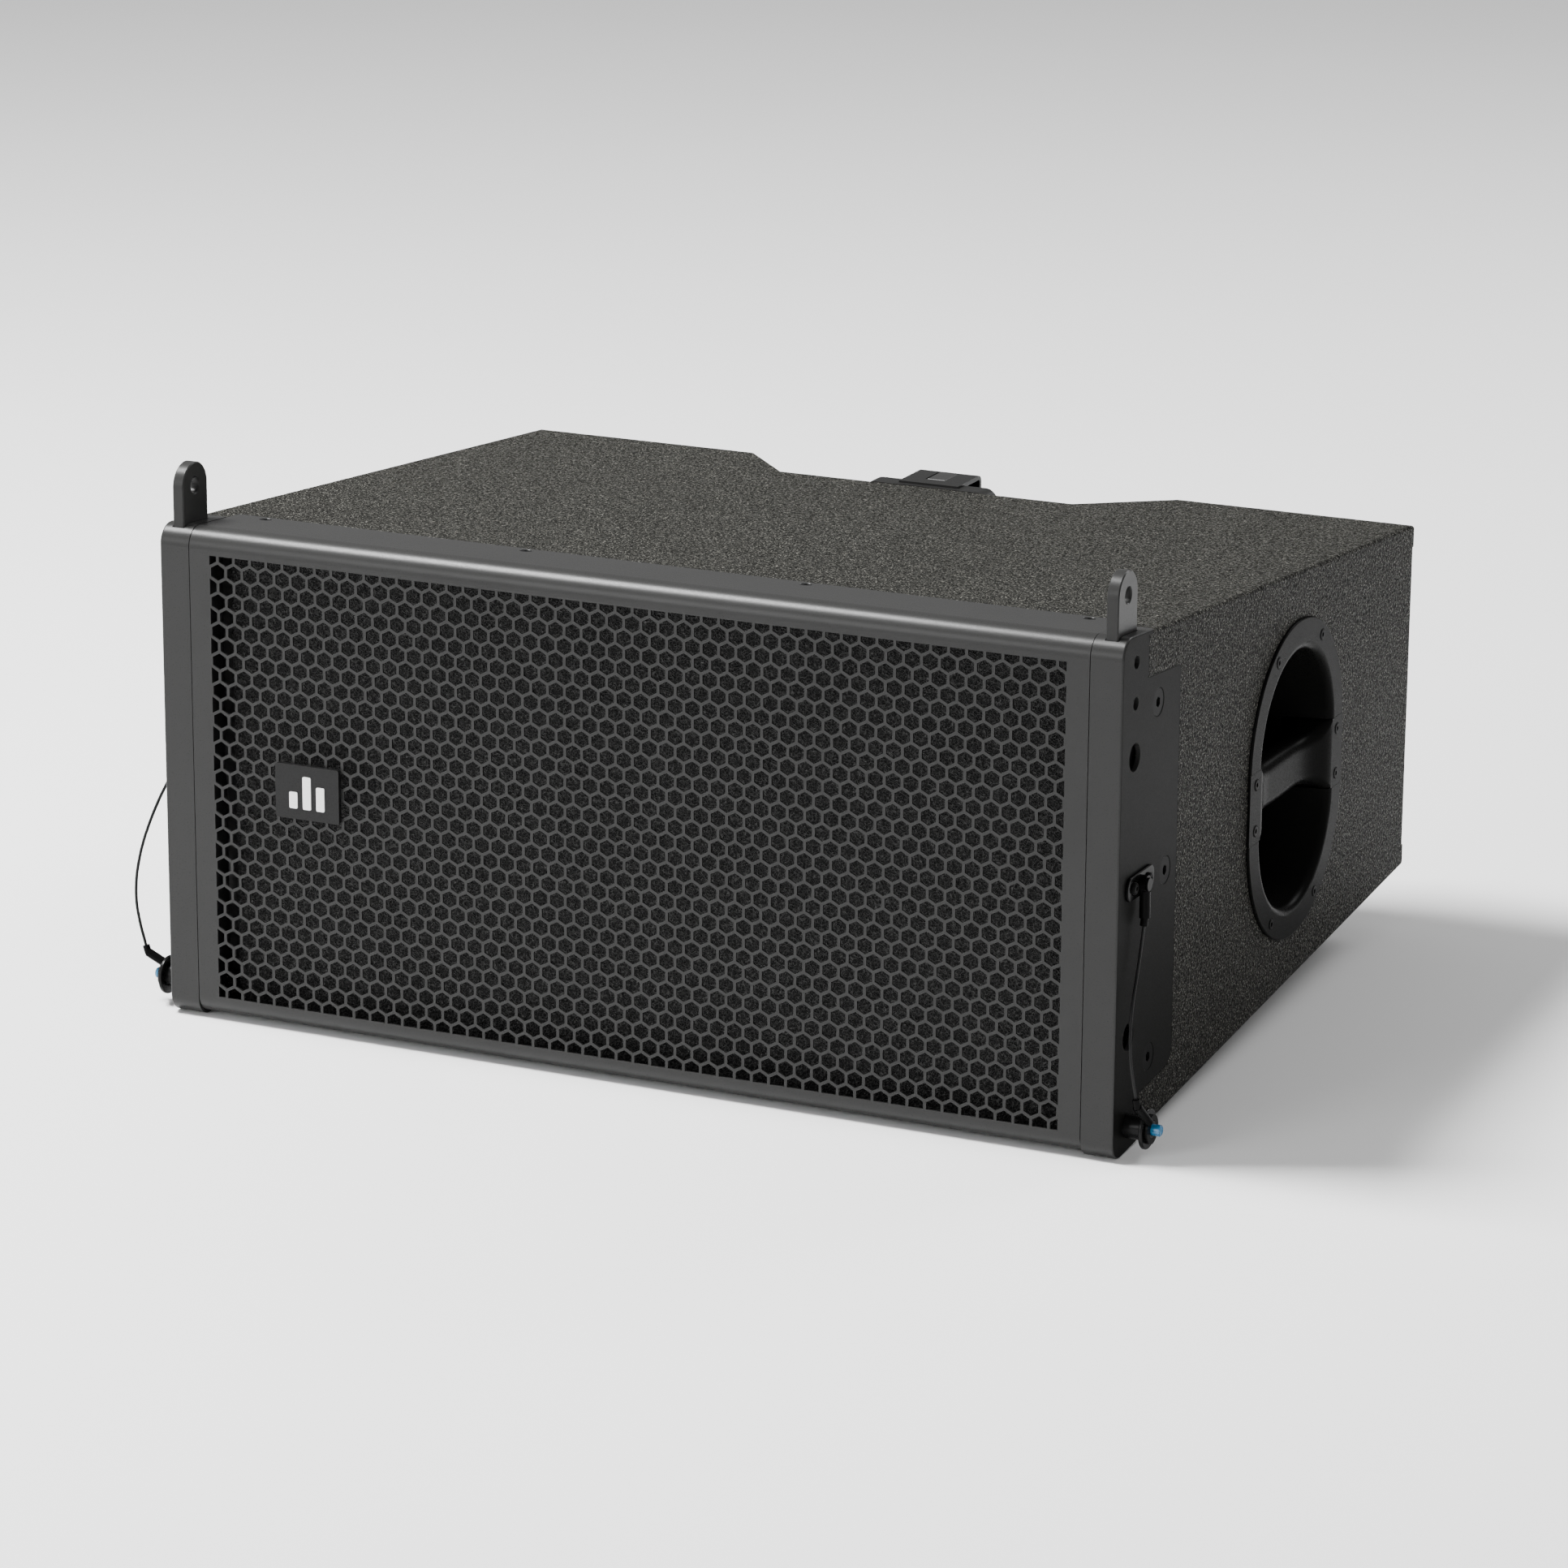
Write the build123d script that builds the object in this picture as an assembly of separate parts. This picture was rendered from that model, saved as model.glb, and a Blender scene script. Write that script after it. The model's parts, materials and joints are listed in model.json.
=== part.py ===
"""Line array speaker element: a tapered plywood cabinet with a folded and perforated
steel grille, a steel rigging frame at each front corner, a rear rigging bracket,
two recessed bar handles and the drivers inside.

Frame: +X to the viewer's right when facing the grille, +Y from the grille to the rear,
+Z up. The origin is under the middle of the element, at the height of its lowest edge.
Lengths are millimetres. Depths (names with "depth" or "_d") are counted from the front face.
"""
from math import cos, hypot, pi, radians, sin, tan
import os

from build123d import *

# ---------------------------------------------------------------- driving dimensions
HALF_WIDTH = 337.0
DEPTH = 537.0
HALF_HEIGHT = 165.8
TAPER = 4.7
MID_Z = 168.2
BADGE_PROUD = 4.0
FRONT = (BADGE_PROUD - DEPTH) / 2

PLY = 15.0
BAFFLE_DEPTH = 46.0
BAFFLE_PLY = 18.0
RECESS_DEPTH = 66.4
RECESS_HALF_MOUTH = 163.2
RECESS_HALF_FLOOR = 110.5
GAP = 0.3
SEAT = 0.05

GRILLE_HALF_WIDTH = 315.0
GRILLE_TOP = 166.5
GRILLE_BOTTOM = -166.8
GRILLE_SHEET = 1.5
GRILLE_FLANGE = 65.0
BEND_RADIUS = 13.0
HEX_PITCH = 12.0
HEX_ROW = 9.93
HEX_WEB = 2.0
HEX_COLUMNS = 50
HEX_ROWS = 31
FIELD_TOP = 149.1
FIELD_BOTTOM = -151.6

PANEL_CORNER_X = 314.5
PANEL_FRONT_DEPTH = 31.0
POST_INNER = 315.5
POST_DEPTH = 42.0
POST_CAP_DEPTH = 49.0
POST_TOP = 166.7
POST_BOTTOM = -169.3
STEEL = 3.0
PLATE_DEPTH = 97.0
PIVOT_DEPTH = 22.0
LINK_PIVOT_Z = 357.1
LOCK_PIVOT_Z = 18.6
LINK_THICKNESS = 8.0
LINK_WIDTH = 31.0
LINK_CENTRE_X = 326.5
LINK_HOLE_RADIUS = 5.2
INDEX_HOLE_RADIUS = 4.3
INDEX_HOLE_Z = (316.1, 290.0)
BIG_HOLE_RADIUS = 9.0
BIG_HOLE_Z = (256.0, 76.6)
RIG_BOLTS = ((60.0, 281.8), (78.0, 169.1), (57.0, 53.1))

HANDLE_DEPTH = 309.5
HANDLE_SIZE = (216.0, 174.0)
HANDLE_MOUTH = (174.0, 131.0)
HANDLE_CUP = 54.0
HANDLE_FLANGE = 2.0
HANDLE_BAND = 24.0
HANDLE_SCREWS = ((41.0, 88.5), (76.0, 15.5))

WOOFER_X = 186.0
WOOFER_RADIUS = 129.0
CONE_TRAVEL = 6.0
SPIDER_RADIUS = 64.6

CABLE_RADIUS = 1.0
CABLE_POINTS = {
    "left": (
        (-349.4, 27.0, 155.2),
        (-354.6, 26.0, 146.0),
        (-363.2, 24.0, 126.6),
        (-371.0, 22.0, 103.6),
        (-375.0, 20.4, 79.6),
        (-373.6, 20.0, 56.6),
        (-367.6, 20.0, 37.4),
    ),
    "right": (
        (342.4, 30.2, 147.0),
        (342.0, 28.6, 136.6),
        (342.0, 22.4, 119.0),
        (343.0, 12.0, 100.6),
        (344.4, 5.8, 82.0),
        (346.4, 3.6, 62.4),
        (349.6, 5.4, 42.6),
    ),
}

slope = tan(radians(TAPER))
interior_half_width = HALF_WIDTH - PLY


# ---------------------------------------------------------------- small helpers
def deep(depth):
    """The y of a depth counted from the front face."""
    return FRONT + depth


def falling(height, depth):
    """The z of a tapered surface that stands `height` from the middle at the front face."""
    fall = slope * depth if height > 0 else -slope * depth
    return MID_Z + height - fall


def along_x(sketch, x0, x1):
    """Extrude a sketch of (y, z) points from x0 to x1."""
    return extrude(Plane.YZ.offset(x0) * sketch, amount=x1 - x0)


def along_y(sketch, y0, y1):
    """Extrude a sketch of (x, z) points from y0 to y1."""
    front = Plane(origin=(0, y1, 0), x_dir=(1, 0, 0), z_dir=(0, -1, 0))
    return extrude(front * sketch, amount=y1 - y0)


def along_z(sketch, z0, z1):
    """Extrude a sketch of (x, y) points from z0 to z1."""
    return extrude(Plane.XY.offset(z0) * sketch, amount=z1 - z0)


def outline(*points):
    """A filled polygon whose points stay where they are given, taken counter-clockwise."""
    area = sum(a[0] * b[1] - b[0] * a[1] for a, b in zip(points, points[1:] + points[:1]))
    return Polygon(*(points if area > 0 else points[::-1]), align=None)


def rounded(sketch, radius, keep):
    """Round the corners of a sketch that `keep` picks."""
    return fillet([v for v in sketch.vertices() if keep(v)], radius)


def block(x0, x1, y0, y1, z0, z1):
    """A box between two corners."""
    centre = Location(((x0 + x1) / 2, (y0 + y1) / 2, (z0 + z1) / 2))
    return centre * Box(abs(x1 - x0), abs(y1 - y0), abs(z1 - z0))


def rod(start, end, radius):
    """A round bar between two points."""
    axis = Vector(*end) - Vector(*start)
    return Plane(origin=start, z_dir=axis) * Cylinder(
        radius, axis.length, align=(Align.CENTER, Align.CENTER, Align.MIN)
    )


def bar_x(x0, x1, y, z, radius):
    """A round bar along X."""
    return rod((min(x0, x1), y, z), (max(x0, x1), y, z), radius)


def bar_y(x, y0, y1, z, radius):
    """A round bar along Y."""
    return rod((x, min(y0, y1), z), (x, max(y0, y1), z), radius)


def turned(profile, x=0.0, z=0.0):
    """Turn a filled (radius, y) outline about the line through (x, z) along Y."""
    return Location((x, 0, z)) * revolve(outline(*profile), Axis.Y)


def mirrored(shape):
    """The same piece on the other side of the element."""
    return mirror(shape, about=Plane.YZ)


def upside_down(shape):
    """The same piece on the underside of the element."""
    return mirror(shape, about=Plane.XY.offset(MID_Z))


def solids_of(*shapes):
    """A group of separate solids for one node."""
    return Compound(children=[s for shape in shapes for s in shape.solids()])


def wedge(top, bottom, front_d, rear_d, half_width):
    """The tapered space between two surfaces, as wide as twice half_width."""
    section = outline(
        (deep(front_d), falling(top, front_d)),
        (deep(rear_d), falling(top, rear_d)),
        (deep(rear_d), falling(bottom, rear_d)),
        (deep(front_d), falling(bottom, front_d)),
    )
    return along_x(section, -half_width, half_width)


# ---------------------------------------------------------------- cabinet
def recess_corners():
    """Mouth, floor and their inner mitres of the rear recess, as (x, depth)."""
    floor_d = DEPTH - RECESS_DEPTH
    run = (RECESS_HALF_MOUTH - RECESS_HALF_FLOOR, RECESS_DEPTH)
    turn = radians(90) - abs(radians(90) - abs(Vector(*run).get_angle(Vector(1, 0)) * pi / 180))
    mitre = PLY * tan(turn / 2)
    mouth = (RECESS_HALF_MOUTH, DEPTH)
    floor = (RECESS_HALF_FLOOR, floor_d)
    return mouth, floor, (mouth[0] + mitre, DEPTH - PLY), (floor[0] + mitre, floor_d - PLY)


def plan_outline():
    """The cabinet's outline from above, with the rear recess and the rigging corners."""
    mouth, floor, _, _ = recess_corners()
    half = [
        (PANEL_CORNER_X, PANEL_FRONT_DEPTH),
        (PANEL_CORNER_X, POST_DEPTH + GAP),
        (HALF_WIDTH, POST_DEPTH + GAP),
        (HALF_WIDTH, DEPTH),
        mouth,
        floor,
    ]
    right = [(x, deep(d)) for x, d in half]
    left = [(-x, y) for x, y in reversed(right)]
    return outline(*right, *left)


def rim_rebates(top):
    """What the grille flange and the two post caps take out of the top panel."""
    floor = GRILLE_TOP - GRILLE_SHEET - SEAT
    flange = wedge(top + 1, floor, 0, GRILLE_FLANGE + GAP, GRILLE_HALF_WIDTH)
    cap = wedge(top + 3, POST_TOP - STEEL - SEAT, 0, POST_CAP_DEPTH + GAP, HALF_WIDTH + 1)
    cap -= block(-POST_INNER + 1, POST_INNER - 1, FRONT - 1, 0, 0, 400)
    return flange + cap


def top_panel():
    """Top of the cabinet, rebated for the grille flange, its outer arris rounded."""
    slab = wedge(HALF_HEIGHT, HALF_HEIGHT - PLY, 10, DEPTH + 1, HALF_WIDTH + 1)
    panel = slab & along_z(plan_outline(), 0, 2 * MID_Z)
    outer = [e for e in panel.edges() if is_arris(e)]
    panel = fillet(outer, 2.5)
    panel -= rim_rebates(HALF_HEIGHT)
    for x, depth in grille_screw_places():
        panel -= grille_screw_place(x, depth) * Cylinder(2.9, 60)
    return panel


def is_arris(edge):
    """True for the long outer edges of the top panel's upper face."""
    middle = edge @ 0.5
    on_top = abs(middle.Z - falling(HALF_HEIGHT, middle.Y - FRONT)) < 0.05
    at_side = abs(abs(middle.X) - HALF_WIDTH) < 0.01
    at_rear = middle.Y > deep(DEPTH - RECESS_DEPTH) - 0.01
    return on_top and (at_side or at_rear)


def side_panel():
    """Right side, rebated for the rigging plate and cut out for the handle."""
    section = outline(
        (deep(POST_DEPTH + GAP), falling(HALF_HEIGHT - PLY, POST_DEPTH + GAP)),
        (deep(DEPTH), falling(HALF_HEIGHT - PLY, DEPTH)),
        (deep(DEPTH), falling(PLY - HALF_HEIGHT, DEPTH)),
        (deep(POST_DEPTH + GAP), falling(PLY - HALF_HEIGHT, POST_DEPTH + GAP)),
    )
    panel = along_x(section, interior_half_width, HALF_WIDTH)
    panel = fillet(panel.edges().filter_by(Axis.Z).filter_by(rear_outer_edge), 2.5)
    panel -= along_x(plate_outline(GAP), HALF_WIDTH - STEEL - GAP, HALF_WIDTH + 1)
    panel -= along_x(handle_slot(HANDLE_MOUTH, 7.0), 0, HALF_WIDTH + 1)
    for depth, z in RIG_BOLTS:
        panel -= bar_x(300, 360, deep(depth), z, 6.3)
    for depth, z in handle_screw_places():
        panel -= bar_x(300, 360, depth, z, 2.2)
    for depth in ANCHOR_SCREW_DEPTHS:
        panel -= bar_x(300, 360, deep(depth), ANCHOR_Z, 2.2)
    return panel


def rear_outer_edge(edge):
    """True for the side panel's upright arris at the rear."""
    middle = edge @ 0.5
    return abs(middle.X - HALF_WIDTH) < 0.01 and middle.Y > deep(DEPTH) - 0.01


def inside_height(sketch):
    """Upright panels: a plan outline cut to the space between top and bottom panel."""
    space = wedge(HALF_HEIGHT - PLY, PLY - HALF_HEIGHT, 0, DEPTH + 1, HALF_WIDTH + 1)
    return along_z(sketch, 0, 2 * MID_Z) & space


def back_panel():
    """Right part of the back, from the side panel to the recess."""
    mouth, _, inner, _ = recess_corners()
    points = [mouth, (interior_half_width, DEPTH), (interior_half_width, DEPTH - PLY), inner]
    return inside_height(outline(*[(x, deep(d)) for x, d in points]))


def recess_cheek():
    """Right slanted wall of the rear recess."""
    mouth, floor, inner_mouth, inner_floor = recess_corners()
    points = [mouth, inner_mouth, inner_floor, floor]
    return inside_height(outline(*[(x, deep(d)) for x, d in points]))


def recess_back():
    """Floor of the rear recess, with the cut-out behind the connector plate."""
    _, floor, _, inner = recess_corners()
    right = [floor, inner]
    left = [(-x, d) for x, d in reversed(right)]
    panel = inside_height(outline(*[(x, deep(d)) for x, d in right + left]))
    x0, x1, z0, z1 = CONNECTOR_PLATE
    panel -= block(x0 + 9, x1 - 9, deep(440), deep(480), z0 + 8, z1 - 8)
    for x, z in connector_plate_screws():
        panel -= bar_y(x, deep(450), deep(480), z, 1.8)
    for x, z in REAR_BOLTS:
        panel -= bar_y(x, deep(450), deep(480), z, 4.2)
    return panel


def front_baffle():
    """Driver board with two woofer holes and the waveguide slot."""
    board = wedge(
        HALF_HEIGHT - PLY, PLY - HALF_HEIGHT, BAFFLE_DEPTH, BAFFLE_DEPTH + BAFFLE_PLY,
        interior_half_width,
    )
    for side in (-1, 1):
        board -= bar_y(side * WOOFER_X, deep(30), deep(80), MID_Z, WOOFER_RADIUS - 12)
        for x, z in woofer_bolt_circle(side * WOOFER_X):
            board -= bar_y(x, deep(30), deep(80), z, 2.8)
    board -= block(-44, 44, deep(30), deep(80), MID_Z - 132, MID_Z + 132)
    return board


def cabinet_brace():
    """Window brace between the drivers and the handles."""
    front_d = 205.0
    half = HALF_HEIGHT - PLY
    board = wedge(half, -half, front_d, front_d + PLY, interior_half_width)
    for x in (-215.0, 0.0, 215.0):
        window = RectangleRounded(170 if x else 160, 190, 25)
        board -= along_y(Pos(x, MID_Z) * window, deep(200), deep(230))
    return board


# ---------------------------------------------------------------- grille
def clipped(points, axis, limit, sign):
    """Cut a convex polygon at a straight limit along one axis."""
    kept = []
    for here, after in zip(points, points[1:] + points[:1]):
        a = sign * (limit - here[axis])
        b = sign * (limit - after[axis])
        if a >= 0:
            kept.append(here)
        if a * b < 0:
            share = a / (a - b)
            kept.append(tuple(h + share * (n - h) for h, n in zip(here, after)))
    return kept


def grille_holes(row):
    """Outlines of one row of six-sided perforations, clipped at the edges of the field."""
    half_field = HEX_PITCH * HEX_COLUMNS / 2
    half_flat = (HEX_PITCH - HEX_WEB) / 2
    half_tip = HEX_ROW * 2 / 3 - HEX_WEB / 2 / cos(radians(30))
    half_side = half_tip - half_flat * HEX_ROW * 2 / 3 / HEX_PITCH
    shift = 0 if row % 2 == 0 else HEX_PITCH / 2
    z = row_height(row)
    for column in range(HEX_COLUMNS + (row % 2 == 0)):
        x = column * HEX_PITCH + shift - half_field
        hexagon = [
            (x, z + half_tip), (x + half_flat, z + half_side),
            (x + half_flat, z - half_side), (x, z - half_tip),
            (x - half_flat, z - half_side), (x - half_flat, z + half_side),
        ]
        for axis, limit, sign in (
            (0, half_field, 1), (0, -half_field, -1),
            (1, MID_Z + FIELD_TOP, 1), (1, MID_Z + FIELD_BOTTOM, -1),
        ):
            hexagon = clipped(hexagon, axis, limit, sign)
        yield hexagon


def row_height(row):
    """Height of the middle of one row of perforations."""
    return MID_Z + FIELD_TOP - 0.8 - row * HEX_ROW


def row_divide(row):
    """Zigzag along the webs under one row of perforations, from left to right."""
    half, low, high = field_edges()
    if row < 0:
        return [(-half, high), (half, high)]
    if row == HEX_ROWS - 1:
        return [(-half, low), (half, low)]
    points = []
    for step in range(2 * HEX_COLUMNS + 1):
        drop = 2 / 3 if step % 2 == row % 2 else 1 / 3
        x = step * HEX_PITCH / 2 - HEX_PITCH * HEX_COLUMNS / 2
        points.append((x, row_height(row) - drop * HEX_ROW))
    return [(-half, points[0][1])] + points + [(half, points[-1][1])]


def grille_section(top, bottom, inset, radius, rear_d):
    """Filled profile of the folded sheet, with its two front corners bent."""
    section = outline(
        (deep(inset), falling(bottom, 0) + inset),
        (deep(rear_d), falling(bottom, rear_d) + inset),
        (deep(rear_d), falling(top, rear_d) - inset),
        (deep(inset), falling(top, 0) - inset),
    )
    return rounded(section, radius, lambda v: v.X < deep(inset) + 1)


def field_edges():
    """Half width, bottom and top of the flat pierced sheet."""
    half = HEX_PITCH * HEX_COLUMNS / 2 + 2.0
    return half, MID_Z + FIELD_BOTTOM - 1.4, MID_Z + FIELD_TOP + 2.0


def grille_mesh():
    """Flat middle of the grille as one pierced sheet, joined row by row along its webs."""
    rows = []
    for row in range(HEX_ROWS):
        rim = row_divide(row - 1) + row_divide(row)[::-1]
        edge = Wire.make_polygon([(x, FRONT, z) for x, z in rim])
        holes = [Wire.make_polygon([(x, FRONT, z) for x, z in hole]) for hole in grille_holes(row)]
        rows.append(Solid.extrude(Face(edge, holes), Vector(0, GRILLE_SHEET, 0)))
    return solids_of(*rows)


def grille_frame():
    """Folded border of the grille with a flange over the top and under the bottom."""
    outer = grille_section(GRILLE_TOP, GRILLE_BOTTOM, 0, BEND_RADIUS, GRILLE_FLANGE)
    inner = grille_section(
        GRILLE_TOP, GRILLE_BOTTOM, GRILLE_SHEET, BEND_RADIUS - GRILLE_SHEET, GRILLE_FLANGE + 5
    )
    shell = along_x(outer, -GRILLE_HALF_WIDTH, GRILLE_HALF_WIDTH)
    shell -= along_x(inner, -GRILLE_HALF_WIDTH - 1, GRILLE_HALF_WIDTH + 1)
    half, low, high = field_edges()
    shell -= block(-half, half, FRONT - 1, FRONT + 5, low, high)
    for x, depth in grille_screw_places():
        sink = grille_screw_place(x, depth) * countersink(2.6, 4.4, GRILLE_SHEET + 2)
        shell -= sink
        shell -= upside_down(sink)
    return shell


def countersink(shank_radius, head_radius, length):
    """The space of a countersunk head whose face lies at z = 0, with its shank below."""
    head = Pos(0, 0, -(head_radius - shank_radius) / 2) * Cone(
        shank_radius, head_radius, head_radius - shank_radius
    )
    shank = Pos(0, 0, -length / 2) * Cylinder(shank_radius, length)
    above = Pos(0, 0, 1) * Cylinder(head_radius, 2)
    return head + shank + above


def grille_screw_places():
    """Places of the flange screws, as (x, depth)."""
    return [(x, 58.0) for x in (-291.0, -99.0, 99.0, 291.0)]


def grille_screw_place(x, depth):
    """Location on the top flange, with its own Z along the surface's normal."""
    return Location((x, deep(depth), falling(GRILLE_TOP, depth)), (-TAPER, 0, 0))


def countersunk_screw(shank_radius, head_radius, length, socket):
    """A countersunk screw with a six-sided socket, its head face at z = 0."""
    head_height = head_radius - shank_radius
    screw = Pos(0, 0, -head_height / 2) * Cone(shank_radius, head_radius, head_height)
    screw += Pos(0, 0, -length / 2) * Cylinder(shank_radius, length)
    screw -= Pos(0, 0, -head_height) * extrude(RegularPolygon(socket, 6), amount=head_height + 1)
    return screw


def grille_screws():
    """The flange screws, above and below."""
    screw = Pos(0, 0, -0.2) * countersunk_screw(2.0, 3.8, 13.0, 1.4)
    upper = [grille_screw_place(x, depth) * screw for x, depth in grille_screw_places()]
    return solids_of(*upper, *[upside_down(s) for s in upper])


def grille_foam():
    """Open-cell foam sheet that stands behind the perforations."""
    pad = block(-297, 297, deep(20), deep(30), MID_Z - 160, MID_Z + 160)
    return chamfer(pad.edges().filter_by(Axis.Z), 2.0)


def badge_plate():
    """Blank name plate stood off the grille by its adhesive pad."""
    centre = (-228.4, MID_Z - 1.4)
    face = Pos(*centre) * RectangleRounded(47.0, 36.5, 1.6)
    plate = along_y(face, deep(-BADGE_PROUD + 0.6), deep(-GAP))
    return plate


def badge_emblem():
    """Three plain level bars raised on the name plate."""
    bars = []
    for index, height in enumerate((11.0, 22.0, 16.0)):
        x = -228.4 + (index - 1) * 10.0
        z = MID_Z - 12.4 + height / 2
        bars.append(along_y(Pos(x, z) * RectangleRounded(6.0, height, 1.0),
                            deep(-BADGE_PROUD), deep(-BADGE_PROUD + 0.6)))
    return solids_of(*bars)


# ---------------------------------------------------------------- front rigging
def plate_outline(margin=0.0):
    """Wide part of the rigging side plate, as (y, z)."""
    top = 304.8 + margin
    bottom = 30.1 - margin
    rear = PLATE_DEPTH + margin
    shape = outline(
        (deep(30), bottom + slope * 30),
        (deep(rear), bottom + slope * rear),
        (deep(rear), top - slope * rear),
        (deep(30), top - slope * 30),
    )
    shape = rounded(shape, 12.0, lambda v: v.X > deep(60) and v.Y < MID_Z)
    return rounded(shape, 4.0, lambda v: v.X > deep(60) and v.Y > MID_Z)


def post_section(inset, depth):
    """Side view of the post between its top and bottom face."""
    section = outline(
        (deep(inset), falling(POST_BOTTOM, 0) + inset),
        (deep(depth), falling(POST_BOTTOM, depth) + inset),
        (deep(depth), falling(POST_TOP, depth) - inset),
        (deep(inset), falling(POST_TOP, 0) - inset),
    )
    return rounded(section, BEND_RADIUS - inset, lambda v: v.X < deep(inset) + 1)


def link_slot(clearance):
    """Space that the link bar slides through, without an end."""
    half_t = LINK_THICKNESS / 2 + clearance
    half_w = LINK_WIDTH / 2 + clearance
    y = deep(PIVOT_DEPTH)
    return block(LINK_CENTRE_X - half_t, LINK_CENTRE_X + half_t, y - half_w, y + half_w, -50, 450)


def rigging_frame():
    """Right rigging frame: folded post, caps, guide plate and the side plate in one weldment."""
    post = along_x(post_section(0, POST_CAP_DEPTH), POST_INNER, HALF_WIDTH)
    post = fillet([e for e in post.edges() if abs((e @ 0.5).X - HALF_WIDTH) < 0.01], 1.2)
    rear = block(300, 340, deep(POST_DEPTH), deep(POST_CAP_DEPTH + 1), 0, 340)
    rear -= wedge(POST_TOP, POST_TOP - STEEL, 30, 60, 340) + wedge(
        POST_BOTTOM + STEEL, POST_BOTTOM, 30, 60, 340
    )
    hollow = along_x(post_section(STEEL, POST_CAP_DEPTH + 5), POST_INNER + STEEL, HALF_WIDTH - STEEL)
    guide = block(POST_INNER + 1, HALF_WIDTH - 1, deep(2), deep(POST_DEPTH), 240, 243)
    frame = post - rear - hollow + guide
    frame += along_x(plate_outline(), HALF_WIDTH - STEEL, HALF_WIDTH)
    frame -= link_slot(0.5)
    y = deep(PIVOT_DEPTH)
    frame -= bar_x(300, 350, y, LOCK_PIVOT_Z, 5.5)
    for z in INDEX_HOLE_Z:
        frame -= bar_x(330, 350, y, z, INDEX_HOLE_RADIUS)
    for z in BIG_HOLE_Z:
        frame -= bar_x(330, 350, y, z, BIG_HOLE_RADIUS)
    for z in FRICTION_SCREW_Z:
        frame -= bar_x(310, 321, y, z, 3.1)
    for depth, z in RIG_BOLTS:
        frame -= Location((HALF_WIDTH, deep(depth), z), (0, 90, 0)) * countersink(5.2, 9.3, 6)
    for depth in ANCHOR_SCREW_DEPTHS:
        frame -= bar_x(330, 350, deep(depth), ANCHOR_Z, 2.1)
    return frame


FRICTION_SCREW_Z = (262.0, 303.0)
ANCHOR_SCREW_DEPTHS = (21.0, 45.0)
ANCHOR_Z = 173.0
ANCHOR_DEPTH = 33.0


def rigging_bolts():
    """Countersunk bolts that hold each side plate to the cabinet."""
    bolt = Pos(0, 0, -0.3) * countersunk_screw(5.0, 8.8, 14.4, 3.5)
    right = [Location((HALF_WIDTH, deep(d), z), (0, 90, 0)) * bolt for d, z in RIG_BOLTS]
    return solids_of(*right, *[mirrored(b) for b in right])


def link_bar():
    """Right link bar with its pivot hole and index holes; it slides down into the post."""
    y = deep(PIVOT_DEPTH)
    half = LINK_WIDTH / 2
    face = outline((y - half, 225), (y + half, 225), (y + half, LINK_PIVOT_Z), (y - half, LINK_PIVOT_Z))
    face += Pos(y, LINK_PIVOT_Z) * Circle(half)
    bar = along_x(face, LINK_CENTRE_X - LINK_THICKNESS / 2, LINK_CENTRE_X + LINK_THICKNESS / 2)
    bar -= bar_x(300, 350, y, LINK_PIVOT_Z, LINK_HOLE_RADIUS)
    bar = chamfer([e for e in bar.edges() if abs((e @ 0.5).X - LINK_CENTRE_X) > 3.9], 0.7)
    step = INDEX_HOLE_Z[0] - INDEX_HOLE_Z[1]
    for count in range(3):
        bar -= bar_x(300, 350, y, INDEX_HOLE_Z[0] - count * step, INDEX_HOLE_RADIUS)
    return bar


def link_friction_screws():
    """Nylon-tipped set screws that drag on the link bars."""
    y = deep(PIVOT_DEPTH)
    right = []
    for z in FRICTION_SCREW_Z:
        screw = bar_x(316.2, LINK_CENTRE_X - LINK_THICKNESS / 2 - GAP, y, z, 3.0)
        right.append(screw - bar_x(310, 318.4, y, z, 1.4))
    return solids_of(*right, *[mirrored(s) for s in right])


def lock_pin(axis_x, y, z, shaft, barrel, flange, reach):
    """Ball-lock pin along X, with its barrel starting at axis_x and its tip `reach` inboard."""
    pin = bar_x(axis_x - reach, axis_x + 1, y, z, shaft)
    pin = chamfer(pin.edges().sort_by(Axis.X)[0], 0.8)
    pin += bar_x(axis_x, axis_x + 12.4, y, z, barrel)
    disc = bar_x(axis_x + 12.4, axis_x + 15.1, y, z, flange)
    pin += fillet(disc.edges(), 0.9)
    pin += bar_x(axis_x + 15.1, axis_x + 17.4, y, z, shaft + 0.6)
    pin -= bar_x(axis_x + 6, axis_x + 20, y, z, 4.0)
    pin -= bar_x(axis_x - reach + 3, axis_x + 20, y, z, 2.0)
    for side in (-1, 1):
        pin += Location((axis_x - reach + 2.2, y, z + side * (shaft - 1.2))) * Sphere(1.3)
    return pin


def lock_button(axis_x, y, z, reach):
    """Coloured release button on its spindle, sliding in the pin's bore."""
    head = bar_x(axis_x + 11.0, axis_x + 23.2, y, z, 3.65)
    head = chamfer(head.edges().sort_by(Axis.X)[-1], 0.6)
    head -= Location((axis_x + 29.4, y, z)) * Sphere(6.8)
    return head + bar_x(axis_x - reach + 8, axis_x + 12, y, z, 1.65)


def front_pin():
    """Right front lock pin, parked in the lower pivot holes."""
    return lock_pin(HALF_WIDTH + 0.4, deep(PIVOT_DEPTH), LOCK_PIVOT_Z, 5.0, 7.8, 13.0, 24.2)


def front_button():
    """Release button of the right front lock pin."""
    return lock_button(HALF_WIDTH + 0.4, deep(PIVOT_DEPTH), LOCK_PIVOT_Z, 24.2)


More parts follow.
